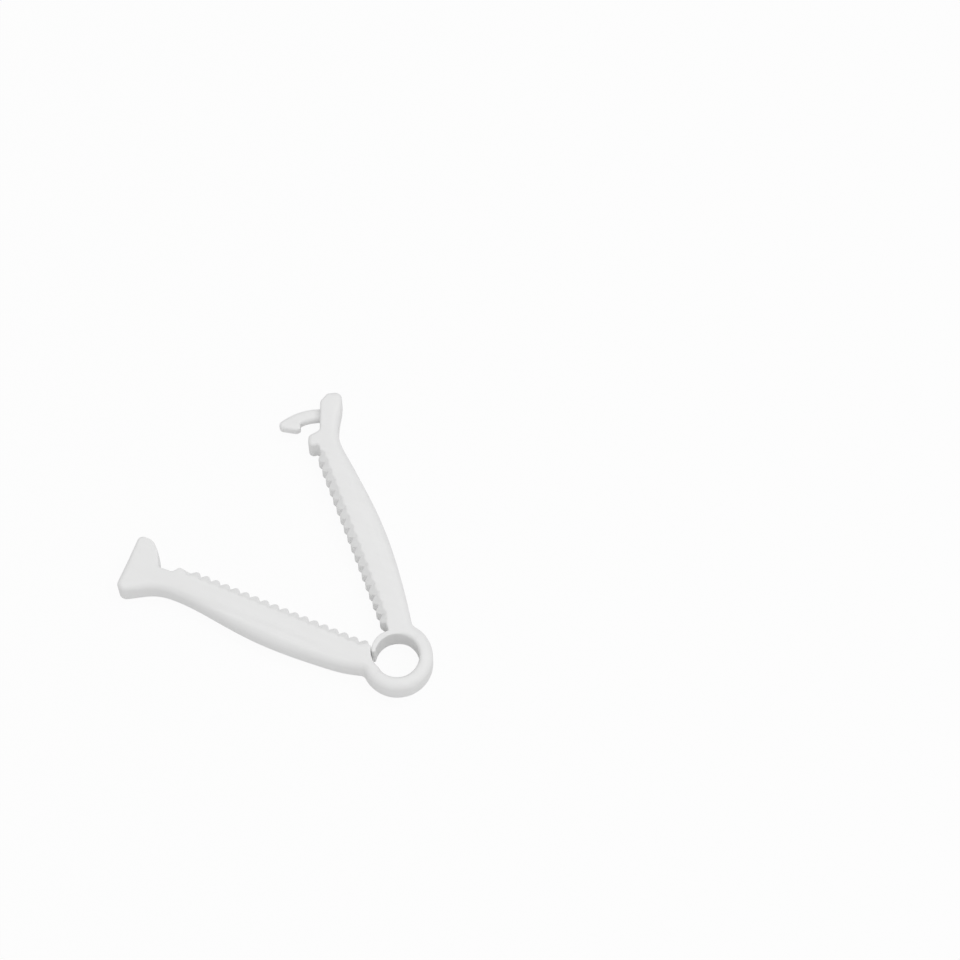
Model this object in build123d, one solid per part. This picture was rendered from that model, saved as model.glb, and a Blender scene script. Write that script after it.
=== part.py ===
from build123d import *

import math
import os

# The umbilical cord clamp is one injection moulding: a jaw that ends in a catch, a jaw that ends
# in a hook, and the C-shaped spring ring that joins them. It lies on its side. The origin is on
# the ring's axis in the plane that it lies on, +Z is up, and +X runs along the catch jaw's teeth.
# Each jaw is drawn in its own plan: s runs out from the ring's axis along the teeth, and t runs
# outwards, away from the other jaw. Millimetres and degrees.

# Whole moulding
thickness = 6.6
reach = 55.0
open_angle = 46.6
edge_break = 0.3
corner_round = 0.35

# Spring ring, and the angle from a jaw at which the flexing part of the band begins
ring_outer_radius = 6.8
ring_band = 2.6
flex_angle = 45.0

# Jaws: the width is from the tips of the teeth to the fullest place of the outer edge
jaw_width = 7.75
tooth_line_inset = 0.7
tooth_pitch = 2.06
tooth_depth = 0.9
tooth_round = 0.25
teeth_margin = 0.55
bevel_width = 1.5
mesh_gap = 0.5
crown_width = 3.3
crown_fade = 2.4

# Crease along the middle of each broad face
crease_depth = 0.32
crease_width = 2.8
crease_inset = 3.3
crease_start = 11.0
crease_margin = 5.1

# Tongue that shuts the way from between the jaws into the ring's eye
tongue_thickness = 1.1
tongue_lap = 13.0
tongue_gap = 0.25

# Catch head on one jaw
head_length = 6.1
head_rise = 2.2
head_spread = 8.8
neck_spread = 5.3
notch_length = 4.0
notch_depth = 2.2
land_length = 0.8
head_corner = 1.1

# Slot in the catch head: a mouth, the ledge beside it and the pocket behind
mouth_length = 3.1
slot_width = 3.1
end_wall = 0.9
ledge_drop = 1.1
pocket_length = 3.8
pocket_depth = 5.3

# Hook and the tilted end that carries it on the other jaw
hook_setback = 1.05
hook_bow = 12.0
hook_bow_middle = -0.9
hook_thickness = 2.4
hook_depth = 2.6
hook_reach = 5.9
hook_round = 0.45
barb_height = 1.05
latch_gap = 0.12
stop_setback = 9.4
stop_length = 2.7
stop_rise = 1.3
neck_width = 3.3
neck_tilt = 20.0
pad_width = 4.4
pad_round = 1.2

# Values that follow from these
half_angle = open_angle / 2
ring_inner_radius = ring_outer_radius - ring_band
tongue_reach = ring_inner_radius + tongue_thickness
flex_start = flex_angle
flex_end = 360.0 - open_angle - flex_angle
tooth_line = -tooth_line_inset
tip_lap = (tooth_depth - mesh_gap) / 2
pivot_offset = (tooth_line_inset - tip_lap) / math.sin(math.radians(half_angle))
pivot_s = pivot_offset * math.cos(math.radians(half_angle))
pivot_t = -pivot_offset * math.sin(math.radians(half_angle))
tongue_radius = tongue_reach - pivot_offset
relief_radius = tongue_radius + tongue_gap
root_start = pivot_s + tongue_radius
teeth_start = root_start + teeth_margin
middle = thickness / 2
overrun = thickness / 2
head_start = reach - head_length
notch_start = head_start - notch_length
land_end = notch_start + 0.2 * notch_length
teeth_end = notch_start - land_length
crease_end = teeth_end - crease_margin
head_top = tooth_line - head_rise
ledge_under = tooth_line + ledge_drop
mouth_end = reach - end_wall
hook_outer = reach - hook_setback
hook_inner = hook_outer - hook_thickness
stop_start = reach - stop_setback
stop_end = stop_start + stop_length
neck_inner = tooth_line + notch_depth
barb_face = 2 * pivot_t - ledge_under - latch_gap


def on_ray(radius, angle):
    """A point in plan at a radius from the ring's axis, at an angle from +X."""
    return (radius * math.cos(math.radians(angle)), radius * math.sin(math.radians(angle)))


def closed_plan(curve, corners):
    """A flat face in plan: a spline through the curve's points, closed through the corners."""
    corners = [curve[-1]] + corners + [curve[0]]
    return make_face([Spline(*curve)] + [Line(a, b) for a, b in zip(corners, corners[1:])])


def softened(face, corners, radius):
    """Rounds the named corners of a plan to one radius."""
    picked = [face.vertices().sort_by_distance((x, y, 0))[0] for x, y in corners]
    return fillet(picked, radius)


def as_hook_jaw(shape):
    """Takes a shape drawn with s along +X and t along +Y to the open hook jaw."""
    return Rot(0, 0, -open_angle) * mirror(shape, about=Plane.XZ)


def catch_plan():
    """The catch jaw's plan in s and t, its tooth line still straight, in to the ring's axis."""
    outer_shares = [(0.19, 0.75), (0.31, 0.84), (0.47, 0.905), (0.64, 0.89), (0.8, 0.79), (0.92, 0.705)]
    flare = head_spread - neck_spread
    curve = [on_ray(ring_outer_radius, flex_angle)]
    curve += [(s * teeth_end, t * jaw_width) for s, t in outer_shares]
    curve += [(teeth_end, neck_spread)]
    curve += [(head_start - 0.2 * head_length, neck_spread + 0.12 * flare)]
    curve += [(head_start + 0.35 * head_length, neck_spread + 0.58 * flare)]
    curve += [(reach - 1.4 * head_corner, neck_spread + 0.96 * flare)]
    pad_corner = (reach, head_spread)
    end_corner = (reach, head_top)
    lobe_corner = (reach - 0.45 * head_length, head_top)
    wall_corner = (head_start + 0.25 * head_length, head_top + 0.75 * head_rise)
    notch_corner = (head_start, tooth_line + notch_depth)
    notch_foot = (land_end, tooth_line + notch_depth)
    corners = [pad_corner, end_corner, lobe_corner, wall_corner, notch_corner]
    corners += [notch_foot, (notch_start, tooth_line), (0, tooth_line), (0, 0)]
    plan = closed_plan(curve, corners)
    plan = softened(plan, [pad_corner, end_corner, lobe_corner, wall_corner], head_corner)
    return softened(plan, [notch_corner, notch_foot], corner_round)


def hook_plan():
    """The hook jaw's plan in s and t, without its hook."""
    outer_shares = [(0.2, 0.7), (0.34, 0.79), (0.5, 0.84), (0.67, 0.8), (0.8, 0.71), (0.9, 0.63)]
    tilt = math.tan(math.radians(neck_tilt))
    pad_inner = neck_inner + tilt * (reach - stop_end)
    curve = [on_ray(ring_outer_radius, flex_angle)]
    curve += [(s * stop_start, t * jaw_width) for s, t in outer_shares]
    curve += [(stop_start, neck_inner + 0.92 * neck_width)]
    curve += [(stop_end, neck_inner + 1.17 * neck_width)]
    curve += [(hook_inner, pad_inner + 0.72 * pad_width)]
    outer_corner = (reach - 0.4 * hook_setback, pad_inner + pad_width)
    end_corner = (reach, pad_inner + 0.35 * pad_width)
    shoulder = (hook_outer, neck_inner + tilt * (hook_outer - stop_end))
    stop_corner = (stop_start, tooth_line - stop_rise)
    stop_foot = (stop_end - 0.12 * stop_length, tooth_line - 0.15 * stop_rise)
    corners = [outer_corner, end_corner, shoulder, (stop_end, neck_inner), stop_foot]
    corners += [stop_corner, (stop_start, tooth_line), (0, tooth_line), (0, 0)]
    plan = closed_plan(curve, corners)
    plan = softened(plan, [outer_corner, end_corner], pad_round)
    return softened(plan, [(stop_end, neck_inner), stop_foot, stop_corner], corner_round)


def bowed(radius, t):
    """A point at t on one of the two arcs that the hook is bowed along, towards its jaw's end."""
    return (hook_outer - hook_bow + math.sqrt(radius ** 2 - (t - hook_bow_middle) ** 2), t)


def finger_plan():
    """The hook in s and t: a bowed finger off the neck, with a barb that faces the ring."""
    root = neck_inner + neck_width
    inner_bow = hook_bow - hook_thickness
    crook = bowed(inner_bow, barb_face)
    barb_corner = (crook[0] - barb_height, barb_face - 0.1 * barb_height)
    barb_side = (barb_corner[0], barb_face - 1.1 * barb_height)
    tip = bowed(hook_bow, -hook_reach)
    far = ThreePointArc(tip, bowed(hook_bow, hook_bow_middle), bowed(hook_bow, root))
    base = Line(bowed(hook_bow, root), bowed(inner_bow, root))
    near = ThreePointArc(bowed(inner_bow, root), bowed(inner_bow, (root + barb_face) / 2), crook)
    plan = make_face([far, base, near, Polyline(crook, barb_corner, barb_side, tip)])
    return softened(plan, [barb_corner, barb_side, tip], hook_round)


def wedge_plan(start, end):
    """A sector in plan about the ring's axis, from one angle to another, counter-clockwise."""
    steps = 8
    rim = [on_ray(reach, start + (end - start) * k / steps) for k in range(steps + 1)]
    return make_face(Polyline((0, 0), *rim, close=True))


def eye_plan():
    """The ring's hole, let out on the catch jaw's side so that the tongue can slide in."""
    relief = Pos(pivot_s, pivot_t) * Circle(relief_radius)
    return Circle(ring_inner_radius) + (relief & wedge_plan(-half_angle, 180.0 - half_angle))


def tongue_plan():
    """The tongue: the hole's circle bounds it inside, an arc about the closing pivot outside."""
    arc = Pos(pivot_s, pivot_t) * Circle(tongue_radius)
    return (arc - Circle(ring_inner_radius)) & wedge_plan(-open_angle - flex_angle / 2, tongue_lap)


def moulding_plan():
    """Plan of the whole moulding, open and without its hook."""
    ring = Circle(ring_outer_radius) & wedge_plan(flex_start, flex_end)
    hook = as_hook_jaw(hook_plan()) - Circle(ring_inner_radius)
    return (catch_plan() + ring - eye_plan()) + hook + tongue_plan()


def with_broken_rims(solid):
    """Breaks the rims of both broad faces."""
    faces = solid.faces().sort_by(Axis.Z)
    return chamfer(faces[0].edges() + faces[-1].edges(), edge_break)


def crown_section(s, shift):
    """Section at s of what lies outside a jaw's half-round outer edge."""
    outer = jaw_width - tooth_line_inset + shift
    inner = outer - crown_width
    wide = outer + overrun
    top = thickness + overrun
    rim = [(inner, thickness), (inner, top), (wide, top), (wide, -overrun), (inner, -overrun), (inner, 0)]
    wire = [ThreePointArc((inner, 0), (outer, middle), (inner, thickness))]
    wire += [Line(a, b) for a, b in zip(rim, rim[1:])]
    return Plane(origin=(s, 0, 0), x_dir=(0, 1, 0), z_dir=(1, 0, 0)) * make_face(wire)


def crown_cutter():
    """Makes a jaw's outer edge half round along its middle, fading out at the ring and the neck."""
    stations = [(0.1, 1.0), (0.2, 0.3), (0.3, 0.08), (0.45, 0.02), (0.6, 0.1), (0.72, 0.35), (0.84, 0.8)]
    return loft([crown_section(s * reach, fade * crown_fade) for s, fade in stations], ruled=True)


def crease_cutter(face_height, side):
    """A long spindle that presses a shallow crease into a broad face and runs out at its ends."""
    radius = (crease_width ** 2 / 4 + crease_depth ** 2) / (2 * crease_depth)
    shallow = radius - crease_depth
    run_out = 0.3 * (crease_end - crease_start)
    profile = [(crease_start, 0), (crease_start, shallow), (crease_start + run_out, radius)]
    profile += [(crease_end - run_out, radius), (crease_end, shallow), (crease_end, 0)]
    spindle = revolve(make_face(Polyline(*profile, close=True)), Axis.X)
    return Pos(0, crease_inset, face_height + side * shallow) * spindle


def tooth_comb(phase, row_end, land_end):
    """What a row of rounded teeth leaves open, from the tongue's root to the end of its flat land."""
    flank = math.atan2(tooth_depth, tooth_pitch / 2)
    loss = tooth_round * (1 / math.cos(flank) - 1)
    valley = tooth_line + tooth_depth
    back = tooth_line - overrun
    first = teeth_start + phase * tooth_pitch
    count = int((row_end - tooth_pitch / 4 - first) / tooth_pitch)
    points = []
    for k in range(count):
        points.append((first + k * tooth_pitch, valley + loss))
        points.append((first + (k + 0.5) * tooth_pitch, tooth_line - loss))
    points.append((first + count * tooth_pitch, valley + loss))
    before = (first - tooth_pitch / 4, valley)
    after = (first + (count + 0.25) * tooth_pitch, valley)
    wave = FilletPolyline(before, *points, after, radius=tooth_round)
    outline = [after, (land_end, valley), (land_end, back)]
    outline += [(root_start, back), (root_start, valley), before]
    return extrude(make_face([wave, Polyline(*outline)]), amount=thickness)


def bevel_cutter(land_end):
    """Two prisms that bevel a toothed edge where it meets the broad faces."""
    back = bevel_width + overrun
    low = bevel_width - back
    upper = [(bevel_width, thickness), (low, thickness - back), (low, thickness)]
    prisms = []
    for corners in (upper, [(t, thickness - z) for t, z in upper]):
        corners = [(t + tooth_line, z) for t, z in corners]
        plane = Plane(origin=(root_start, 0, 0), x_dir=(0, 1, 0), z_dir=(1, 0, 0))
        prisms.append(extrude(plane * make_face(Polyline(*corners, close=True)), amount=land_end - root_start))
    return prisms


def jaw_cutters(phase, row_end, land_end):
    """All that is cut from either jaw: crown, creases, teeth and bevels."""
    creases = [crease_cutter(thickness, 1), crease_cutter(0, -1)]
    return [crown_cutter()] + creases + [tooth_comb(phase, row_end, land_end)] + bevel_cutter(land_end)


def slot_cutter():
    """The catch head's slot: a mouth that takes the hook, and a pocket that opens at the end."""
    low = middle - slot_width / 2
    mouth_start = mouth_end - mouth_length
    pocket_start = mouth_end - pocket_length
    mouth = Box(mouth_length, ledge_under - head_top + overrun, slot_width, align=Align.MIN)
    pocket = Box(reach - pocket_start + overrun, pocket_depth, slot_width, align=Align.MIN)
    mouth = Pos(mouth_start, head_top - overrun, low) * mouth
    return mouth + Pos(pocket_start, ledge_under, low) * pocket


def moulding():
    """The clamp as it leaves the mould, open, without its hook."""
    solid = with_broken_rims(extrude(moulding_plan(), amount=thickness))
    for cutter in jaw_cutters(0, teeth_end, land_end):
        solid -= cutter
    for cutter in jaw_cutters(0.5, stop_start, stop_start):
        solid -= as_hook_jaw(cutter)
    return solid - slot_cutter()


def finger():
    """The hook by itself, narrower than the jaw and on its middle plane."""
    return Pos(0, 0, middle - hook_depth / 2) * extrude(finger_plan(), amount=hook_depth)


os.makedirs("parts", exist_ok=True)

clamp = moulding()
flexure = extrude(wedge_plan(flex_start, flex_end), amount=thickness)
jaws = (clamp - flexure).solids().sort_by(Axis.Y)
nodes = {
    "spring_ring": clamp & flexure,
    "catch_jaw": jaws[-1],
    "hook_jaw": jaws[0],
    "latch_hook": as_hook_jaw(finger()) - jaws[0],
}
for name, shape in nodes.items():
    export_step(shape, f"parts/{name}.step")
    print(name, len(shape.solids()), round(shape.volume, 2))

print("closing pivot", pivot_s, pivot_t)
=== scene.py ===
# %% [markdown]
# # An umbilical cord clamp, lying open
#
# The real clamp is a single moulding of satin white plastic. Two toothed jaws leave a C-shaped
# spring ring, one jaw ends in a barbed hook, and the other in a slotted head that takes the hook.
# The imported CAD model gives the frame: its bodies, its joint and its size. This lesson dresses it
# with finer meshes, a plastic finish, a pale floor and a camera.

import math

import bmesh
import bpy
import numpy as np
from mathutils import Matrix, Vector, geometry


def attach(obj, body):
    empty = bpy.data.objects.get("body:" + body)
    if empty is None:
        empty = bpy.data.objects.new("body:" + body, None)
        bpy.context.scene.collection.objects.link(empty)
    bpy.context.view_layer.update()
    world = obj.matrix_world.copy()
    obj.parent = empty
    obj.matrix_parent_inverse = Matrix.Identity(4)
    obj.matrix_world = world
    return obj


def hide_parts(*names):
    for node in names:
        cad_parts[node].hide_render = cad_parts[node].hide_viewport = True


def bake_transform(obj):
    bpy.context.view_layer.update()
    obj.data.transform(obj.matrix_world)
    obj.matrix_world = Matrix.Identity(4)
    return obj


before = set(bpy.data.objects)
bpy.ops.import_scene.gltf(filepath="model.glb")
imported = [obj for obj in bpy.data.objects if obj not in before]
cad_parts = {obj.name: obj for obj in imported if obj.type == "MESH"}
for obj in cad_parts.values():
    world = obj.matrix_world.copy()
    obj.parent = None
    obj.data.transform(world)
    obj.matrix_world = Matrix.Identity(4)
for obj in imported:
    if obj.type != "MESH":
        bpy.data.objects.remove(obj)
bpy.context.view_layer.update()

# %% [markdown]
# ## Sizes
#
# The numbers below are the ones that a mould maker would write on the drawing, in millimetres.
# The plan of each jaw is drawn in its own directions: s runs out from the ring's axis along the
# teeth, and t runs outwards, away from the other jaw. Only the last step turns millimetres into
# Blender's metres, so every curve can be read against the drawing. The jaws close about a pivot
# close to the ring's axis, placed so that the two rows of teeth meet with a small gap.

# %% Sizes of the moulding
MM = 0.001
THICKNESS = 6.6
REACH = 55.0
OPEN_ANGLE = 46.6
RING_OUTER, RING_INNER, FLEX_ANGLE = 6.8, 4.2, 45.0
TOOTH_LINE = -0.7
TEETH, TOOTH_PITCH, TOOTH_DEPTH, MESH_GAP = 18, 2.06, 0.9, 0.5
VALLEY = TOOTH_LINE + TOOTH_DEPTH
BEVEL = 1.5
FACE_SHARE = 0.3
SOFT_RIM, EYE_RIM, RING_RIM = 0.5, 0.8, 1.4
HALF_ANGLE = math.radians(OPEN_ANGLE / 2)
PIVOT_OFFSET = (-TOOTH_LINE - (TOOTH_DEPTH - MESH_GAP) / 2) / math.sin(HALF_ANGLE)
PIVOT = PIVOT_OFFSET * np.array([math.cos(HALF_ANGLE), -math.sin(HALF_ANGLE)])
TONGUE_THICKNESS, TONGUE_GAP = 1.1, 0.1
TONGUE_RADIUS = RING_INNER + TONGUE_THICKNESS - PIVOT_OFFSET
RELIEF_RADIUS = TONGUE_RADIUS + TONGUE_GAP
TEETH_START = PIVOT[0] + TONGUE_RADIUS + 0.55
HEAD_START = REACH - 6.1
HEAD_TOP = TOOTH_LINE - 2.2
NOTCH_START, NOTCH_FLOOR = HEAD_START - 4.0, TOOTH_LINE + 2.2
STOP_START, STOP_END = REACH - 9.4, REACH - 6.7
HOOK_OUTER, HOOK_THICKNESS, HOOK_DEPTH = REACH - 1.05, 2.4, 2.6
LEDGE_UNDER, LATCH_GAP = TOOTH_LINE + 1.1, 0.12
BARB_FACE = 2 * PIVOT[1] - LEDGE_UNDER - LATCH_GAP
print("closing pivot at", PIVOT.round(3), "teeth from", round(TEETH_START, 3), "head from", HEAD_START)

# %% [markdown]
# ## Curves in plan
#
# A moulding's outline is a few smooth sweeps joined by rounded corners. Blender's own curves could
# draw them, but here each point of an outline will also carry the size of its own rounding, so a
# handful of small functions on arrays of points is simpler to follow.

# %% Points along a path
FINE_STEP, SAME_POINT = 0.01, 1e-6


def polar(radius, degrees):
    """Points in plan on a circle about the ring's axis."""
    turn = np.radians(np.atleast_1d(degrees))
    return radius * np.column_stack([np.cos(turn), np.sin(turn)])


def run_lengths(path):
    """How far along a path each of its points lies."""
    return np.concatenate([[0], np.cumsum(np.linalg.norm(np.diff(path, axis=0), axis=1))])


def spaced(path, count, last=True):
    """The same path with evenly spaced points."""
    along = run_lengths(path)
    at = np.linspace(0, along[-1], count, endpoint=last)
    return np.column_stack([np.interp(at, along, path[:, k]) for k in (0, 1)])


def nearest(path, spot):
    """The number of the path's point that lies nearest to a spot."""
    return int(np.argmin(np.linalg.norm(path - np.array(spot), axis=1)))


def portion(path, start, end):
    """The part of a finely sampled path between the points nearest to start and end."""
    return path[nearest(path, start):nearest(path, end) + 1]


def joined(*paths):
    """Paths end to end, without points that repeat, finely sampled."""
    path = np.concatenate(paths)
    path = path[np.concatenate([[True], np.linalg.norm(np.diff(path, axis=0), axis=1) > SAME_POINT])]
    return spaced(path, int(run_lengths(path)[-1] / FINE_STEP) + 2)


print("the ring is", round(run_lengths(polar(RING_OUTER, np.arange(361)))[-1], 1), "mm round")


# %% Sweeps and rounded corners
def spline_through(points, count=600):
    """A natural cubic spline through the points, as a draughtsman's batten lies through its pins."""
    pins = np.array(points, float)
    along = run_lengths(pins)
    gap = np.diff(along)
    system, pull = np.eye(len(pins)), np.zeros_like(pins)
    for k in range(1, len(pins) - 1):
        system[k, k - 1:k + 2] = gap[k - 1], 2 * (gap[k - 1] + gap[k]), gap[k]
        pull[k] = 6 * ((pins[k + 1] - pins[k]) / gap[k] - (pins[k] - pins[k - 1]) / gap[k - 1])
    bend = np.linalg.solve(system, pull)
    at = np.linspace(0, along[-1], count)
    k = np.clip(np.searchsorted(along, at, side="right") - 1, 0, len(pins) - 2)
    a = ((along[k + 1] - at) / gap[k])[:, None]
    b = 1 - a
    bow = ((a ** 3 - a) * bend[k] + (b ** 3 - b) * bend[k + 1]) * (gap[k] ** 2)[:, None] / 6
    return a * pins[k] + b * pins[k + 1] + bow


def rounded(corners, radii, steps=8):
    """A chain of straight edges with its inner corners rounded."""
    corners = [np.array(c, float) for c in corners]
    path = [corners[0]]
    for before, corner, after, radius in zip(corners, corners[1:], corners[2:], radii):
        back = (before - corner) / np.linalg.norm(before - corner)
        ahead = (after - corner) / np.linalg.norm(after - corner)
        half = math.acos(max(-1, min(1, float(back @ ahead)))) / 2
        reach = radius / math.tan(half)
        middle = corner + (back + ahead) / np.linalg.norm(back + ahead) * radius / math.sin(half)
        start, end = corner + back * reach - middle, corner + ahead * reach - middle
        turn = math.pi - 2 * half
        side = np.sign(start[0] * end[1] - start[1] * end[0])
        for k in range(steps + 1):
            a = side * turn * k / steps
            path.append(middle + np.array([start[0] * math.cos(a) - start[1] * math.sin(a),
                                           start[0] * math.sin(a) + start[1] * math.cos(a)]))
    path.append(corners[-1])
    return np.array(path)


def softened(path, corner, reach):
    """The same path with the kink at a corner turned into a short curve."""
    at = nearest(path, corner)
    span = int(reach / FINE_STEP)
    a, b = path[at - span], path[at + span]
    u = np.linspace(0, 1, 2 * span + 1)[:, None]
    bend = (1 - u) ** 2 * a + 2 * u * (1 - u) * path[at] + u ** 2 * b
    return np.concatenate([path[:at - span], bend, path[at + span + 1:]])


# %% [markdown]
# ## The slab that every piece is built from
#
# Every piece of the clamp is a flat slab with soft edges, seen from above as one outline. A Bevel
# modifier on an extruded outline is the usual way, but it takes one width, and here the rounding
# grows and shrinks along the edge. So each point of the outline gets a column of points that runs
# over its own rounding, from the top face down the wall to the bottom face. Neighbouring columns
# make clean quads, and a Delaunay triangulation fills the two broad faces, with a few inner points
# that can sink into the crease.
#
# Each point also stores two attributes for the teeth: how far along the jaw it lies, and the way it
# moves for each millimetre that a tooth gap is cut. That way leads from the section of a tooth's tip
# to the section of a gap, which is what makes the scalloped band on the real jaw.

# %% Sections of an edge
ROUND_STEPS = 10
EDGE_OF_GAP = 0.16


def quarter_round(size):
    """A quarter round from the wall to the face, as (inset, drop) pairs."""
    turn = np.linspace(0, math.pi / 2, ROUND_STEPS + 1)
    return size * np.column_stack([1 - np.cos(turn), 1 - np.sin(turn)])


def eased_bevel(size, ease_share=0.4, ease_most=0.18):
    """A 45 degree bevel with eased corners, with as many points as a quarter round."""
    ease = min(ease_most, ease_share * size)
    q = ease / math.sqrt(2)
    slope = np.linspace(q, size - q, ROUND_STEPS - 3)
    low = [(0, size + ease), (q / 4, size + (ease - q) / 4)]
    high = [(size + (ease - q) / 4, q / 4), (size + ease, 0)]
    return np.array(low + [(inset, size - inset) for inset in slope] + high)


def gap_section(size):
    """The section in the middle of a tooth gap, where the tips have a bevel of this size.

    The wall moves in by the whole depth, and the broad face's edge only by FACE_SHARE of it.
    """
    narrow = max(EDGE_OF_GAP, size - TOOTH_DEPTH * (1 - FACE_SHARE))
    return eased_bevel(narrow) + (TOOTH_DEPTH, 0)


def inward(path):
    """Unit normals of an outline, to its left, where the plastic is."""
    along = np.gradient(path, axis=0)
    along /= np.linalg.norm(along, axis=1)[:, None]
    return np.column_stack([-along[:, 1], along[:, 0]])


print("a bevel and a gap's section have", len(eased_bevel(BEVEL)), "and", len(gap_section(BEVEL)), "points")


# %% The points inside a broad face
def inner_points(loop, spacing=0.35, clear=0.5):
    """A grid of points inside a loop, all of them clear of its edge."""
    low, high = loop.min(axis=0), loop.max(axis=0)
    grid = np.stack(np.meshgrid(*[np.arange(a, b, spacing) for a, b in zip(low, high)]), -1)
    grid = grid.reshape(-1, 2)
    inside = np.zeros(len(grid), bool)
    away = np.full(len(grid), np.inf)
    for a, b in zip(loop, np.roll(loop, -1, axis=0)):
        away = np.minimum(away, np.hypot(*(grid - a).T))
        if a[1] != b[1]:
            crosses = (a[1] > grid[:, 1]) != (b[1] > grid[:, 1])
            at = a[0] + (grid[:, 1] - a[1]) * (b[0] - a[0]) / (b[1] - a[1])
            inside ^= crosses & (grid[:, 0] < at)
    return grid[inside & (away > clear)]


# %% One column of points over an edge
def column(p, n, rim, toothed, margin, height, crease):
    """The points over the edge at p, from the top face to the bottom face, and their ways to a gap.

    n points inwards. A margin makes the slab slimmer there by that much all round.
    """
    half = height / 2 - margin
    section = eased_bevel(rim) if toothed else quarter_round(rim)
    change = (gap_section(rim) - section) / TOOTH_DEPTH if toothed else 0 * section
    rows = []
    for sign, order in ((1, section[::-1]), (-1, section)):
        changes = change[::-1] if sign > 0 else change
        for (inset, drop), (move_in, move_down) in zip(order, changes):
            spot, rise = p + n * (margin + inset), half - drop
            rise -= crease(*spot) * min(1, 2 * rise / height)
            rows.append(((*spot, sign * rise), (*(n * move_in), -sign * move_down)))
        if sign > 0:
            rows.append(((*(p + n * margin), 0), (*(n * float(toothed)), 0)))
    return rows


# %% The faces of a slab
FILL_INSIDE, MERGE_WITHIN = 1, 1e-9


def wall_faces(columns, deep, ends):
    """Quads between neighbouring columns, and one many-sided face where a run ends."""
    faces = []
    for i in range(columns):
        here, ahead = i * deep, (i + 1) % columns * deep
        if i + 1 in ends:
            faces.append([here + j for j in range(deep)] + [ahead + j for j in reversed(range(deep))])
        else:
            faces += [(here + j, here + j + 1, ahead + j + 1, ahead + j) for j in range(deep - 1)]
    return faces


def broad_faces(name, loop, inner, deep):
    """Triangles over the top face and the bottom face, through the loop and the inner points."""
    columns = len(loop)
    plan = [Vector(p) for p in np.concatenate([loop, inner])]
    filled = geometry.delaunay_2d_cdt(plan, [], [list(range(columns))], FILL_INSIDE, MERGE_WITHIN)
    assert len(filled[0]) == len(plan), name + ": the outline crosses itself"
    own = [ids[0] for ids in filled[3]]
    faces = []
    for level, first in ((0, columns * deep), (deep - 1, columns * deep + len(inner))):
        ids = [i * deep + level if i < columns else first + i - columns for i in own]
        faces += [[ids[i] for i in face] for face in filled[2]]
    return faces


# %% Build a slab
def stored_piece(name, points, faces, alongs, cuts):
    """A piece from points in millimetres that stores how far along and which way to cut."""
    mesh = bpy.data.meshes.new(name)
    mesh.from_pydata((points * MM).tolist(), [], faces)
    along = mesh.attributes.new("along_jaw", "FLOAT", "POINT")
    along.data.foreach_set("value", (alongs * MM).astype(np.float32))
    cut = mesh.attributes.new("cut_way", "FLOAT_VECTOR", "POINT")
    cut.data.foreach_set("vector", cuts.astype(np.float32).ravel())
    work = bmesh.new()
    work.from_mesh(mesh)
    bmesh.ops.recalc_face_normals(work, faces=work.faces)
    work.to_mesh(mesh)
    work.free()
    piece = bpy.data.objects.new(name, mesh)
    bpy.context.scene.collection.objects.link(piece)
    return piece


def slab_mesh(name, runs, directions, height=THICKNESS, crease=lambda s, t: 0.0):
    """Makes a closed slab from the runs of its outline: (points, inward ways, rims, toothed, margin)."""
    rows, alongs, ends = [], [], []
    for path, ways, *values in runs:
        values = [np.broadcast_to(value, len(path)) for value in values]
        for p, n, *sizes in zip(path, ways, *values):
            rows.append(column(p, n, *sizes, height, crease))
            alongs.append(p[0])
        ends.append(len(rows))
    points = np.array([[row[0] for row in one] for one in rows])
    cuts = np.array([[row[1] for row in one] for one in rows])
    columns, deep = points.shape[:2]
    loop = points[:, 0, :2]
    inner = inner_points(loop)
    faces = wall_faces(columns, deep, ends) + broad_faces(name, loop, inner, deep)
    sunk = np.array([height / 2 - crease(*p) for p in inner]).reshape(-1, 1)
    points = np.concatenate([points.reshape(-1, 3), np.hstack([inner, sunk]), np.hstack([inner, -sunk])])
    cuts = np.concatenate([cuts.reshape(-1, 3), np.zeros((2 * len(inner), 3))])
    alongs = np.concatenate([np.repeat(alongs, deep), np.zeros(2 * len(inner))])
    turn = np.eye(3)
    turn[:2, :2] = directions
    print(name, columns, "columns,", len(faces), "faces")
    return stored_piece(name, points @ turn.T + (0, 0, THICKNESS / 2), faces, alongs, cuts @ turn.T)


# %% Each jaw's own directions
AS_CATCH = np.eye(2)
lean = math.radians(-OPEN_ANGLE)
AS_HOOK = np.array([[math.cos(lean), math.sin(lean)], [math.sin(lean), -math.cos(lean)]])
print("the hook jaw's s runs along", AS_HOOK[:, 0].round(3), "and its t along", AS_HOOK[:, 1].round(3))

# %% [markdown]
# ## Node trees written as sums
#
# Both the teeth and the plastic finish need some arithmetic in node trees. One small class holds a
# tree and a socket of it, and Python's operators add the Math nodes, so a formula reads as a
# formula. Every other node comes from its one method, which sets the node's settings first.


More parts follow.
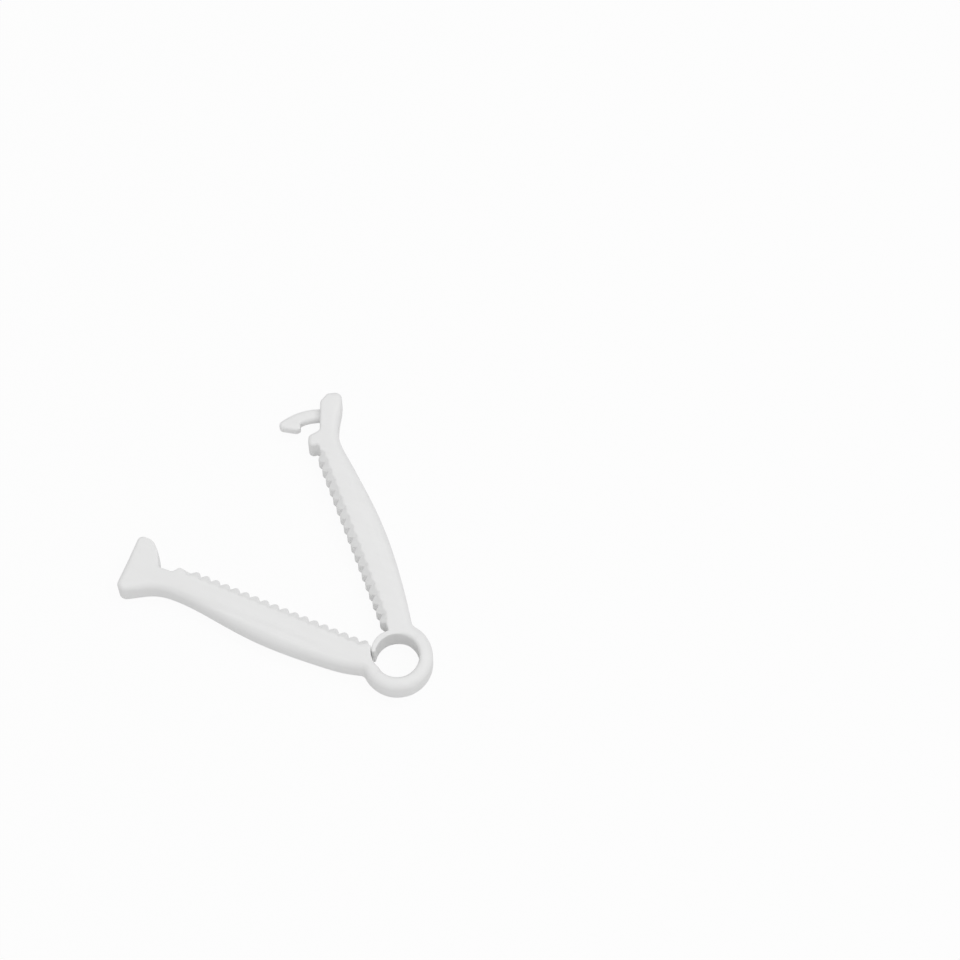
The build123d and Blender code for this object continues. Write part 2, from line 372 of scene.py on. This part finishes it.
# %% A socket that can be used in sums
class Wire:
    """A socket of a node tree, or the tree alone, that builds more nodes."""

    def __init__(self, tree, socket=None):
        self.tree, self.socket = tree, socket

    def add(self, kind, settings=None, sockets=None, out=0):
        """Adds a node: its settings, then its sockets' values or links. Gives one output."""
        node = self.tree.nodes.new(kind)
        for key, value in (settings or {}).items():
            setattr(node, key, value)
        for key, value in (sockets or {}).items():
            if isinstance(value, Wire):
                self.tree.links.new(value.socket, node.inputs[key])
            else:
                node.inputs[key].default_value = value
        return Wire(self.tree, node.outputs[out]) if len(node.outputs) else node

    def math(self, operation, *others):
        """A Math node on this wire and others."""
        return self.add("ShaderNodeMath", {"operation": operation}, dict(enumerate((self, *others))))

    def math_after(self, operation, number):
        """A Math node on a number and this wire, in that order."""
        return self.add("ShaderNodeMath", {"operation": operation}, {0: number, 1: self})

    def __add__(self, other):
        return self.math("ADD", other)

    def __mul__(self, other):
        return self.math("MULTIPLY", other)

    def __truediv__(self, other):
        return self.math("DIVIDE", other)

    def __sub__(self, other):
        return self.math("SUBTRACT", other)

    def __rsub__(self, other):
        return self.math_after("SUBTRACT", other)

    def __rtruediv__(self, other):
        return self.math_after("DIVIDE", other)

    __radd__ = __add__
    __rmul__ = __mul__


# %% Trees that shape a piece
def new_tree(name, inputs):
    """A geometry node tree with named inputs, and the wires of those inputs."""
    tree = bpy.data.node_groups.new(name, "GeometryNodeTree")
    tree.interface.new_socket("Geometry", in_out="INPUT", socket_type="NodeSocketGeometry")
    for label, kind in inputs:
        tree.interface.new_socket(label, in_out="INPUT", socket_type="NodeSocket" + kind)
    tree.interface.new_socket("Geometry", in_out="OUTPUT", socket_type="NodeSocketGeometry")
    entry = tree.nodes.new("NodeGroupInput")
    wires = {socket.name: Wire(tree, socket) for socket in entry.outputs if socket.name}
    return tree, wires


def close_tree(tree, shape, material):
    """Ends a tree in Realize Instances and Set Material."""
    real = shape.add("GeometryNodeRealizeInstances", None, {0: shape})
    made = real.add("GeometryNodeSetMaterial", None, {"Geometry": real, "Material": material})
    exit_node = tree.nodes.new("NodeGroupOutput")
    tree.links.new(made.socket, exit_node.inputs["Geometry"])


# %% Plain meshes
def bake(piece):
    """Turns a piece and its live modifiers into a plain mesh."""
    view = bpy.context.evaluated_depsgraph_get()
    view.update()
    mesh = bpy.data.meshes.new_from_object(piece.evaluated_get(view))
    mesh.name = piece.name
    piece.modifiers.clear()
    piece.data = mesh


def run_tree(piece, tree, values):
    """Runs a tree on a piece with the named values, and keeps the result as a plain mesh."""
    modifier = piece.modifiers.new(tree.name, "NODES")
    modifier.node_group = tree
    for item in tree.interface.items_tree:
        if item.in_out == "INPUT" and item.name in values:
            modifier[item.identifier] = values[item.name]
    bake(piece)


def smooth(piece, sharp_degrees=38):
    """Smooth shading, with only true corners left sharp."""
    piece.data.shade_smooth()
    piece.data.set_sharp_from_angle(angle=math.radians(sharp_degrees))
    triangles = sum(len(face.vertices) - 2 for face in piece.data.polygons)
    print(piece.name, triangles, "triangles")


# %% [markdown]
# ## Satin white plastic
#
# The clamp is moulded in a white plastic with a satin skin. Close up, the skin has a very fine
# grain from the mould, faint streaks where the plastic flowed out along the jaws, and a little
# unevenness in its gloss. Light that sinks in would soften its shadows, but it stops at the seams
# between the pieces and would draw them as dark lines, so the plastic is a plain bright white. The
# streaks are noise stretched along the jaw, so each jaw has its own angle of the same finish.


# %% The plastic finish
def satin_plastic(name, grain_degrees):
    """A satin white moulded plastic whose flow streaks run at an angle in plan."""
    material = bpy.data.materials.new(name)
    material.use_nodes = True
    tree = material.node_tree
    tree.nodes.clear()
    start = Wire(tree)
    place = start.add("ShaderNodeTexCoord", out="Object")
    along = start.add("ShaderNodeMapping", None, {
        "Vector": place, "Rotation": (0, 0, math.radians(-grain_degrees)), "Scale": (60, 900, 500)})
    streaks = start.add("ShaderNodeTexNoise", None, {
        "Vector": along, "Scale": 1.0, "Detail": 3.0, "Roughness": 0.55}, out="Fac")
    clouds = start.add("ShaderNodeTexNoise", None, {
        "Vector": place, "Scale": 160.0, "Detail": 2.0, "Roughness": 0.5}, out="Fac")
    grain = start.add("ShaderNodeTexNoise", None, {
        "Vector": place, "Scale": 5200.0, "Detail": 2.0, "Roughness": 0.6}, out="Fac")
    tone = streaks * 0.55 + clouds * 0.45
    colour = start.add("ShaderNodeMix", {"data_type": "RGBA"}, {
        "Factor": tone, "A": (0.90, 0.90, 0.895, 1), "B": (0.97, 0.97, 0.97, 1)}, out="Result")
    roughness = 0.36 + clouds * 0.16 + grain * 0.06
    relief = streaks * 0.6 + clouds * 0.5 + grain * 0.25
    bump = start.add("ShaderNodeBump", None, {
        "Height": relief, "Strength": 0.35, "Distance": 0.00006})
    skin = start.add("ShaderNodeBsdfPrincipled", None, {
        "Base Color": colour, "Roughness": roughness, "Normal": bump, "IOR": 1.49})
    start.add("ShaderNodeOutputMaterial", None, {"Surface": skin})
    return material


catch_plastic = satin_plastic("satin_white_plastic_catch_jaw", 0)
hook_plastic = satin_plastic("satin_white_plastic_hook_jaw", -OPEN_ANGLE)
ring_plastic = satin_plastic("satin_white_plastic_ring", 66.7)
print("finishes:", catch_plastic.name, hook_plastic.name, ring_plastic.name)

# %% [markdown]
# ## Teeth by Geometry Nodes
#
# Each jaw has a row of rounded teeth at an even pitch, one row half a pitch further out than the
# other so that they mesh. Teeth could be modelled one by one, but a row is a rule: the edge moves
# in and out in equal humps. The tree reads how far along the jaw each point is and moves it along
# the way that the slab stored for it. The size of a sine gives broad round tips with narrow gaps,
# and a small softness rounds the bottom of each gap.


# %% The tree that cuts the teeth
def tooth_tree():
    """Builds the tree. Each point moves its own way by the depth of the gap where it lies."""
    tree, given = new_tree("cut_teeth", [
        ("Pitch", "Float"), ("Depth", "Float"), ("Softness", "Float"),
        ("First gap", "Float"), ("Teeth", "Float"), ("Breadth", "Float"), ("Plastic", "Material")])
    start = Wire(tree)
    along = start.add("GeometryNodeInputNamedAttribute", {"data_type": "FLOAT"}, {"Name": "along_jaw"})
    way = start.add("GeometryNodeInputNamedAttribute", {"data_type": "FLOAT_VECTOR"}, {"Name": "cut_way"})
    pitches = (along - given["First gap"]) / given["Pitch"]
    inside = pitches.math("MAXIMUM", 0.0).math("MINIMUM", given["Teeth"])
    soft = given["Softness"]
    wave = (inside * math.pi).math("SINE")
    hump = (wave * wave + soft * soft).math("SQRT") - soft
    share = 1 - (hump / ((soft * soft + 1).math("SQRT") - soft)).math("POWER", given["Breadth"])
    offset = start.add("ShaderNodeVectorMath", {"operation": "SCALE"}, {
        0: way, "Scale": share * given["Depth"]})
    cut = start.add("GeometryNodeSetPosition", None, {"Geometry": given["Geometry"], "Offset": offset})
    close_tree(tree, cut, given["Plastic"])
    return tree


cut_teeth = tooth_tree()
print("the tree", cut_teeth.name, "has", len(cut_teeth.nodes), "nodes")

# %% Run the tree on a jaw
GAP_SOFTNESS, TIP_BREADTH = 0.35, 0.7


def with_teeth(piece, first_gap, plastic):
    """Cuts the row of teeth into a jaw and gives the jaw its plastic."""
    run_tree(piece, cut_teeth, {
        "Pitch": TOOTH_PITCH * MM, "Depth": TOOTH_DEPTH * MM, "Softness": GAP_SOFTNESS,
        "First gap": first_gap * MM, "Teeth": float(TEETH), "Breadth": TIP_BREADTH, "Plastic": plastic})
    print(piece.name, "has", TEETH, "teeth")


# %% [markdown]
# ## The catch jaw
#
# Its inner edge starts inside the ring's eye, follows the row of teeth, dips into the notch and
# climbs round the head. Its outer edge leaves the ring in a small soft corner and sweeps out to the
# head's pad. The two edges meet on the flat end face. The outer edge is well rounded along its middle
# and squarer at both ends, and a shallow crease runs along each broad face.

# %% The catch jaw's outer edge
JAW_WIDTH, NECK_SPREAD, HEAD_SPREAD = 7.75, 5.3, 8.8
CATCH_SHARES = [(0.19, 0.75), (0.31, 0.84), (0.47, 0.905), (0.64, 0.89), (0.8, 0.79), (0.92, 0.705)]
TEETH_END = NOTCH_START - 0.8
FLARE = HEAD_SPREAD - NECK_SPREAD
JUNCTION, CORNER_REACH = 66.0, 0.8
RING_CORNER = tuple(polar(RING_OUTER, FLEX_ANGLE)[0])

catch_pins = [RING_CORNER] + [(s * TEETH_END, t * JAW_WIDTH) for s, t in CATCH_SHARES]
catch_pins += [(TEETH_END, NECK_SPREAD), (HEAD_START - 1.22, NECK_SPREAD + 0.12 * FLARE)]
catch_pins += [(HEAD_START + 2.135, NECK_SPREAD + 0.58 * FLARE)]
catch_pins += [(REACH - 1.9, NECK_SPREAD + 0.91 * FLARE)]
end_low, end_high = (REACH, 3.0), (REACH, 3.3)
head_pad = rounded([catch_pins[-1], (REACH, HEAD_SPREAD), end_high], [1.35])
ring_arc = polar(RING_OUTER, np.linspace(JUNCTION, FLEX_ANGLE, 20))
catch_outer = softened(joined(ring_arc, spline_through(catch_pins), head_pad), RING_CORNER, CORNER_REACH)
catch_outer = softened(catch_outer, catch_pins[-1], 0.3)
print("catch jaw's outer edge is", round(run_lengths(catch_outer)[-1], 1), "mm long")

# %% The catch jaw's inner edge
RELIEF_END, NOTCH_SLANT = 62.0, 0.08


def foot_on_valley(radius):
    """Where a circle about the closing pivot meets the floor of the tooth gaps."""
    return (PIVOT[0] + math.sqrt(radius ** 2 - (VALLEY - PIVOT[1]) ** 2), VALLEY)


relief = PIVOT + polar(RELIEF_RADIUS, np.linspace(75, 0, 400))
relief_foot = foot_on_valley(RELIEF_RADIUS)
relief_last = (relief_foot[0] - 0.06, 0.9)
catch_first, catch_last = 5.74, NOTCH_START + 0.05
catch_eye = joined(polar(RING_INNER, np.linspace(JUNCTION, RELIEF_END, 9)),
                   portion(relief, polar(RING_INNER, RELIEF_END)[0], relief_last),
                   rounded([relief_last, relief_foot, (catch_first, VALLEY)], [0.25])[1:])
notch_foot = (NOTCH_START + 1.35, NOTCH_FLOOR)
head_tip = (REACH, HEAD_TOP + 1.15)
head = joined(rounded([(catch_last, VALLEY), (NOTCH_START + 0.327, VALLEY),
                       (notch_foot[0], NOTCH_FLOOR - NOTCH_SLANT), (HEAD_START, NOTCH_FLOOR + NOTCH_SLANT),
                       (HEAD_START + 1.525, -1.25), (REACH - 2.745, HEAD_TOP), (REACH, HEAD_TOP),
                       end_low], [0.45, 0.9, 0.5, 3.5, 2.2, 1.15]))
print("catch jaw's teeth run from", catch_first, "to", round(catch_last, 2), "mm")


# %% Crown and crease along a jaw
CROWN_AT = [0, 5, 8, 13, 21, 31, 38, 43, 47, 50, 53, 60]
CROWN_SIZE = [1.4, 1.4, 1.5, 1.8, 2.2, 2.2, 2.0, 1.7, 1.5, 1.4, 1.0, 1.0]


def jaw_crease(s, t, middle=4.6, half_width=0.8, depth=0.22, start=10.0, end=40.0, fade=7.0):
    """The depth of the shallow crease at a place on a broad face."""
    ends = min(1.0, max(0.0, (s - start) / fade), max(0.0, (end - s) / fade))
    side = abs(t - middle) / half_width
    if ends <= 0 or side >= 1:
        return 0.0
    return depth * ends * ends * (3 - 2 * ends) * math.cos(math.pi / 2 * side) ** 2


print("crown from", min(CROWN_SIZE), "to", max(CROWN_SIZE), "mm, crease", jaw_crease(25, 4.6), "mm deep")


# %% Stretches of an outline
STEP, EASE_REACH = 0.14, 3


def stretch(path, rims, toothed=False):
    """A stretch of outline with evenly spaced points, and its rims spread evenly along it."""
    path = spaced(path, max(3, int(run_lengths(path)[-1] / STEP)), False)
    rims = np.interp(np.linspace(0, 1, len(path)), np.linspace(0, 1, len(rims)), rims)
    return path, inward(path), rims, np.full(len(path), toothed)


def row_of_teeth(start, end, fade=1.4, least=0.4):
    """The straight stretch along the teeth's tips. Its bevel is small at both ends."""
    path, ways, _, toothed = stretch(np.array([(start, TOOTH_LINE), (end, TOOTH_LINE)]), [BEVEL], True)
    bevels = np.interp(path[:, 0], [start, start + fade, end - fade, end], [least, BEVEL, BEVEL, least])
    return path, ways, bevels, toothed


def outer_stretch(outer):
    """The outer edge, from the jaw's end back to the ring. Its rounding is the jaw's crown."""
    path = spaced(outer[::-1], int(run_lengths(outer)[-1] / STEP))
    return path, inward(path), np.interp(path[:, 0], CROWN_AT, CROWN_SIZE), np.full(len(path), False)


def run_of(*stretches):
    """Stretches end to end as one run of a slab, with the rims eased where they meet."""
    path, ways, rims, toothed = [np.concatenate(parts) for parts in zip(*stretches)]
    width = 2 * EASE_REACH + 1
    eased = np.convolve(np.pad(rims, EASE_REACH, "edge"), np.full(width, 1 / width), "valid")
    return path, ways, np.where(toothed, rims, eased), toothed, 0.0


# %% Build the catch jaw
relief_middle = polar(4.58, FLEX_ANGLE)[0]
catch_run = run_of(
    stretch(portion(catch_eye, catch_eye[0], relief_middle), [EYE_RIM, SOFT_RIM]),
    stretch(portion(catch_eye, relief_middle, catch_eye[-1]), [SOFT_RIM, 0.3, 0.2, EDGE_OF_GAP]),
    row_of_teeth(catch_first, catch_last),
    stretch(portion(head, head[0], notch_foot), [EDGE_OF_GAP, 0.35, SOFT_RIM]),
    stretch(portion(head, notch_foot, head_tip), [SOFT_RIM]),
    stretch(portion(head, head_tip, head[-1]), [SOFT_RIM, CROWN_SIZE[-1]]),
    outer_stretch(catch_outer))
catch_jaw = slab_mesh("catch_jaw_moulding", [catch_run], AS_CATCH, crease=jaw_crease)
with_teeth(catch_jaw, TEETH_START, catch_plastic)

# %% [markdown]
# ## The slot in the catch head
#
# The hook goes in through a mouth at the top of the head and snaps behind a ledge into a pocket.
# The pocket runs out through the end face, because the mould's side pull has to come out there.
# A boolean is the right tool for a square hole through a finished shape.

# %% Cut the slot
SLOT_WIDTH, MOUTH_END, MOUTH_LENGTH = 3.1, REACH - 0.9, 3.1
POCKET_LENGTH, POCKET_DEPTH, OVERRUN = 3.8, 5.3, 2.0


def slot_core():
    """The steel core that leaves the slot: a mouth and a pocket, as one L-shaped block."""
    mouth_s, pocket_s = MOUTH_END - MOUTH_LENGTH, MOUTH_END - POCKET_LENGTH
    top, bottom, outside = HEAD_TOP - OVERRUN, LEDGE_UNDER + POCKET_DEPTH, REACH + OVERRUN
    plan = [(mouth_s, top), (MOUTH_END, top), (MOUTH_END, LEDGE_UNDER), (outside, LEDGE_UNDER),
            (outside, bottom), (pocket_s, bottom), (pocket_s, LEDGE_UNDER), (mouth_s, LEDGE_UNDER)]
    work = bmesh.new()
    z = (THICKNESS - SLOT_WIDTH) / 2
    face = work.faces.new([work.verts.new((s * MM, t * MM, z * MM)) for s, t in plan])
    grown = bmesh.ops.extrude_face_region(work, geom=[face])
    moved = [v for v in grown["geom"] if isinstance(v, bmesh.types.BMVert)]
    bmesh.ops.translate(work, verts=moved, vec=(0, 0, SLOT_WIDTH * MM))
    bmesh.ops.recalc_face_normals(work, faces=work.faces)
    mesh = bpy.data.meshes.new("slot_core")
    work.to_mesh(mesh)
    work.free()
    core = bpy.data.objects.new("slot_core", mesh)
    bpy.context.scene.collection.objects.link(core)
    return core


def with_boolean(piece, tool, operation):
    """Cuts or joins another mesh into a piece, and removes the tool."""
    modifier = piece.modifiers.new(operation.lower(), "BOOLEAN")
    modifier.operation, modifier.solver, modifier.object = operation, "MANIFOLD", tool
    bake(piece)
    bpy.data.objects.remove(tool)


with_boolean(catch_jaw, slot_core(), "DIFFERENCE")
smooth(catch_jaw)

# %% [markdown]
# ## The hook jaw
#
# It mirrors the catch jaw up to the end of its teeth. There a small stop stands proud, the neck
# leans outwards, and the jaw ends in a flat pad. At the root its outline runs on round the ring's
# eye as a thin curved tongue, which closes the gap to the catch jaw. The bowed hook is a slimmer
# slab of its own, joined in by a boolean, so that the whole jaw is one closed skin.

# %% The pad at the hook jaw's end
NECK_WIDTH, PAD_WIDTH = 3.3, 4.4
TILT = math.tan(math.radians(20))
pad_inner = NOTCH_FLOOR + TILT * (REACH - STOP_END)
shoulder = (HOOK_OUTER, NOTCH_FLOOR + TILT * (HOOK_OUTER - STOP_END))
pad_end = np.array([REACH, pad_inner + 0.35 * PAD_WIDTH])
pad_corner = np.array([REACH - 0.42, pad_inner + PAD_WIDTH])
end_middle = pad_end + 0.34 * (pad_corner - pad_end)
end_step = 0.15 * (pad_corner - pad_end) / np.linalg.norm(pad_corner - pad_end)
print("the pad's end face starts at", pad_end.round(2), "mm")

# %% The hook jaw's two edges
HOOK_SHARES = [(0.2, 0.7), (0.34, 0.79), (0.5, 0.84), (0.67, 0.8), (0.8, 0.71), (0.9, 0.63)]
hook_pins = [RING_CORNER] + [(s * STOP_START, t * JAW_WIDTH) for s, t in HOOK_SHARES]
hook_pins += [(STOP_START, NOTCH_FLOOR + 0.92 * NECK_WIDTH), (STOP_END, NOTCH_FLOOR + 1.17 * NECK_WIDTH)]
hook_pins += [(HOOK_OUTER - HOOK_THICKNESS, pad_inner + 0.72 * PAD_WIDTH)]
hook_pad = rounded([hook_pins[-1], pad_corner, end_middle + end_step], [1.3])
hook_outer = softened(joined(ring_arc, spline_through(hook_pins), hook_pad), RING_CORNER, CORNER_REACH)
hook_first, hook_last = 6.2, STOP_START - 0.7
stop = joined(rounded([(hook_last, VALLEY), (STOP_START, VALLEY), (STOP_START, TOOTH_LINE - 1.3),
                       (STOP_END - 0.324, TOOTH_LINE - 0.195), (STOP_END, NOTCH_FLOOR), shoulder,
                       pad_end, end_middle - end_step], [0.45, 0.9, 0.9, 0.7, 1.5, 1.1]))
print("hook jaw's outer edge is", round(run_lengths(hook_outer)[-1], 1), "mm long")

# %% The tongue across the ring's eye
TONGUE_RIM, TONGUE_START, TONGUE_TIP, TIP_LENGTH = 0.28, 20.0, -57.6, 0.32
tongue_inner = polar(RING_INNER, np.linspace(TONGUE_START, TONGUE_TIP, 80))


def from_pivot(radius, degrees):
    """Where a ray from the ring's axis meets a circle about the closing pivot."""
    ray = polar(1.0, degrees)
    along = ray @ PIVOT
    return ray * (along + np.sqrt(along ** 2 - PIVOT @ PIVOT + radius ** 2))[:, None]


tongue_outer = from_pivot(TONGUE_RADIUS, np.linspace(TONGUE_TIP, -4, 60))
tip_out = polar(TIP_LENGTH, TONGUE_TIP - 90)[0]
tongue_tip = rounded([tongue_inner[-2], tongue_inner[-1] + tip_out, tongue_outer[0] + tip_out,
                      tongue_outer[1]], [0.3, 0.3])
foot = rounded([tongue_outer[-1], foot_on_valley(TONGUE_RADIUS), (hook_first, VALLEY)], [0.3])
tongue = joined(tongue_inner[:-1], tongue_tip[1:-1], tongue_outer[1:], foot[1:])
print("tongue's edge is", round(run_lengths(tongue)[-1], 1), "mm long")

# %% Build the hook jaw
STOP_RIM = 0.75
stop_tip = (STOP_START, TOOTH_LINE)
stop_foot = (STOP_END, NOTCH_FLOOR)
hook_run = run_of(
    stretch(polar(RING_INNER, np.linspace(JUNCTION, FLEX_ANGLE, 30)), [EYE_RIM]),
    stretch(polar(RING_INNER, np.linspace(FLEX_ANGLE, TONGUE_START, 30)), [EYE_RIM, TONGUE_RIM]),
    stretch(tongue, [TONGUE_RIM] * 5 + [EDGE_OF_GAP]),
    row_of_teeth(hook_first, hook_last),
    stretch(portion(stop, stop[0], stop_tip), [EDGE_OF_GAP, SOFT_RIM, STOP_RIM]),
    stretch(portion(stop, stop_tip, stop_foot), [STOP_RIM, STOP_RIM, SOFT_RIM]),
    stretch(portion(stop, stop_foot, pad_end), [SOFT_RIM]),
    stretch(portion(stop, pad_end, stop[-1]), [SOFT_RIM, CROWN_SIZE[-1]]),
    outer_stretch(hook_outer))
hook_jaw = slab_mesh("hook_jaw_moulding", [hook_run], AS_HOOK, crease=jaw_crease)
with_teeth(hook_jaw, TEETH_START + TOOTH_PITCH / 2, hook_plastic)

# %% The bowed hook with its barb
BOW, BOW_MIDDLE = 12.0, -0.9
HOOK_ROOT, HOOK_REACH = 4.8, 5.9
BARB_HEIGHT, FINGER_STEP = 1.05, 0.1


def bowed(radius, t):
    """A point at t on one of the two arcs that the hook is bowed along."""
    return (HOOK_OUTER - BOW + math.sqrt(radius ** 2 - (t - BOW_MIDDLE) ** 2), t)


crook = bowed(BOW - HOOK_THICKNESS, BARB_FACE)
barb = (crook[0] - BARB_HEIGHT, BARB_FACE - 0.1 * BARB_HEIGHT)
barb_side = (barb[0], BARB_FACE - 1.1 * BARB_HEIGHT)
tip = bowed(BOW, -HOOK_REACH - 0.6)
near_arc = [bowed(BOW - HOOK_THICKNESS, t) for t in np.linspace(HOOK_ROOT, BARB_FACE + 0.4, 30)]
far_arc = [bowed(BOW, t) for t in np.linspace(HOOK_ROOT, -HOOK_REACH + 1.2, 40)]
hook_round = rounded([near_arc[-1], crook, barb, barb_side, tip, far_arc[-1]], [0.38, 0.62, 0.9, 0.85])
finger_path = joined(np.array(near_arc), hook_round, np.array(far_arc)[::-1])
finger_path = spaced(finger_path, int(run_lengths(finger_path)[-1] / FINGER_STEP))
print("the hook's edge is", round(run_lengths(finger_path)[-1], 1), "mm long")

# %% Build the hook and join it in
FINGER_RIM, BARB_RIM, HOOK_TIP_RIM = 0.85, 0.5, 0.68
at_barb, at_tip = [run_lengths(finger_path)[nearest(finger_path, spot)] for spot in (barb, tip)]
rim_places = [0, at_barb - 2, at_barb - 1, at_barb + 0.5, at_tip - 0.5, at_tip + 1, at_tip + 3]
rim_sizes = [FINGER_RIM, FINGER_RIM, BARB_RIM, BARB_RIM, HOOK_TIP_RIM, HOOK_TIP_RIM, FINGER_RIM]
finger_rims = np.interp(run_lengths(finger_path), rim_places, rim_sizes)
finger = slab_mesh("hook_finger", [(finger_path, inward(finger_path), finger_rims, False, 0.0)],
                   AS_HOOK, height=HOOK_DEPTH)
with_boolean(hook_jaw, finger, "UNION")
smooth(hook_jaw)

# %% [markdown]
# ## The spring ring
#
# The ring is the same kind of slab, with one run of outline round the eye and one round the
# outside. At both ends it takes exactly the section that the jaws start with, and then a slimmer
# tail runs a little way into each jaw, so no gap can open. When the jaws close, the ring is what
# bends.

# %% Build the ring
ring_start, ring_end = JUNCTION, 360 - OPEN_ANGLE - JUNCTION
TAIL_DEGREES, TAIL_MARGIN = np.linspace(3, 0.1, 3), 0.4


def ring_run(radius, rim):
    """One edge of the ring, clockwise round the eye or back round the outside, with slim tails."""
    turns = np.linspace(ring_end, ring_start, 181)
    turns = np.concatenate([ring_end + TAIL_DEGREES, turns, ring_start - TAIL_DEGREES[::-1]])
    turns = turns if radius == RING_INNER else turns[::-1]
    hidden = (turns > ring_end) | (turns < ring_start)
    path = polar(radius, turns)
    rims, margins = np.where(hidden, TAIL_MARGIN, rim), np.where(hidden, TAIL_MARGIN, 0.0)
    return path, inward(path), rims, False, margins


eye_edge, outer_edge = ring_run(RING_INNER, EYE_RIM), ring_run(RING_OUTER, RING_RIM)
spring_ring = slab_mesh("spring_ring_moulding", [eye_edge, outer_edge], AS_CATCH)
spring_ring.data.materials.append(ring_plastic)
smooth(spring_ring)

# %% [markdown]
# ## Bodies
#
# Each jaw rides on its own body. The ring keeps its place in the world and is fixed to neither
# body.

# %% Fix the pieces to the bodies
BLEND_REACH = 4.19
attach(catch_jaw, "catch_side")
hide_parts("catch_jaw")
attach(hook_jaw, "hook_side")
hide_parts("hook_jaw", "latch_hook")
across_way = polar(BLEND_REACH, 90 - OPEN_ANGLE / 2)[0] * MM
-across_way[0]
-across_way[1]
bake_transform(spring_ring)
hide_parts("spring_ring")

# %% [markdown]
# ## Floor, light and camera
#
# The photograph looks steeply down on a white table with very soft light and hardly any shadow. The
# floor shows itself white to the camera and keeps a faint shadow. Most of the light comes from all
# round. A large soft panel above and to the right makes the walls that face it as bright as the
# tops, and leaves the teeth of the hook jaw and the near walls a little darker.

# %% The floor
FLOOR_SPAN, SEEN_WHITE = 3.0, 0.93
floor_mesh = bpy.data.meshes.new("floor")
corners = [(-FLOOR_SPAN, -FLOOR_SPAN, 0), (FLOOR_SPAN, -FLOOR_SPAN, 0),
           (FLOOR_SPAN, FLOOR_SPAN, 0), (-FLOOR_SPAN, FLOOR_SPAN, 0)]
floor_mesh.from_pydata(corners, [], [(0, 1, 2, 3)])
floor = bpy.data.objects.new("floor", floor_mesh)
bpy.context.scene.collection.objects.link(floor)

white_table = bpy.data.materials.new("white_table")
white_table.use_nodes = True
tree = white_table.node_tree
tree.nodes.clear()
start = Wire(tree)
seen = start.add("ShaderNodeLightPath", out="Is Camera Ray")
lit = start.add("ShaderNodeBsdfDiffuse", None, {"Color": (0.86, 0.86, 0.86, 1)})
glow = start.add("ShaderNodeEmission", None, {"Color": (1, 1, 1, 1), "Strength": 1.0})
table = start.add("ShaderNodeMixShader", None, {0: seen * SEEN_WHITE, 1: lit, 2: glow})
start.add("ShaderNodeOutputMaterial", None, {"Surface": table})
floor_mesh.materials.append(white_table)
print("the floor is", 2 * FLOOR_SPAN, "m wide")

# %% Light from all round
AMBIENT = 0.545
world = bpy.data.worlds.new("soft_studio")
bpy.context.scene.world = world
world.use_nodes = True
tree = world.node_tree
tree.nodes.clear()
start = Wire(tree)
seen = start.add("ShaderNodeLightPath", out="Is Camera Ray")
sky = start.add("ShaderNodeBackground", None, {
    "Color": (1, 1, 1, 1), "Strength": AMBIENT + seen * (1 - AMBIENT)})
start.add("ShaderNodeOutputWorld", None, {"Surface": sky})
print("the world's strength is", AMBIENT)

# %% Camera at the photograph's viewing angle
ELEVATION, DISTANCE, FOCAL_SHARE = 69.5, 707.0, 5.14
SENSOR_WIDTH, PICTURE_WIDTH = 36.0, 960
RING_ON_TABLE = np.array([-15.7, -37.8])
CATCH_DIRECTION = 156.9


def from_table(point):
    """Takes a point on the photograph's table, in millimetres, to the clamp's own frame."""
    turn = math.radians(-CATCH_DIRECTION)
    x, y = point[0] - RING_ON_TABLE[0], point[1] - RING_ON_TABLE[1]
    return Vector((x * math.cos(turn) - y * math.sin(turn),
                   x * math.sin(turn) + y * math.cos(turn), point[2])) * MM


tip_down = math.radians(ELEVATION)
eye = from_table((0, -DISTANCE * math.cos(tip_down), DISTANCE * math.sin(tip_down)))
target = from_table((0, 0, 0))
camera = bpy.data.objects.new("camera", bpy.data.cameras.new("camera"))
camera.data.sensor_width = SENSOR_WIDTH
camera.data.lens = SENSOR_WIDTH * FOCAL_SHARE * DISTANCE / PICTURE_WIDTH
camera.data.clip_start, camera.data.clip_end = 0.01, 20
camera.location = eye
camera.rotation_mode = "QUATERNION"
camera.rotation_quaternion = (target - eye).to_track_quat("-Z", "Y")
bpy.context.scene.collection.objects.link(camera)
bpy.context.scene.camera = camera
print("camera at", [round(c, 3) for c in eye], "lens", round(camera.data.lens, 1))


# %% Soft lights
def panel(name, place, size, power):
    """A square soft light that faces the clamp, placed on the photograph's table."""
    light = bpy.data.lights.new(name, "AREA")
    light.shape, light.size, light.energy = "SQUARE", size, power
    lamp = bpy.data.objects.new(name, light)
    lamp.location = from_table(place)
    lamp.rotation_mode = "QUATERNION"
    lamp.rotation_quaternion = (target - lamp.location).to_track_quat("-Z", "Y")
    bpy.context.scene.collection.objects.link(lamp)
    print(name, "at", [round(c, 3) for c in lamp.location], "with", power, "W")


panel("main_panel", place=(270, 30, 900), size=0.8, power=2.9)
panel("fill_panel", place=(-100, -450, 850), size=0.9, power=0.5)
bpy.context.scene.view_settings.view_transform = "Standard"
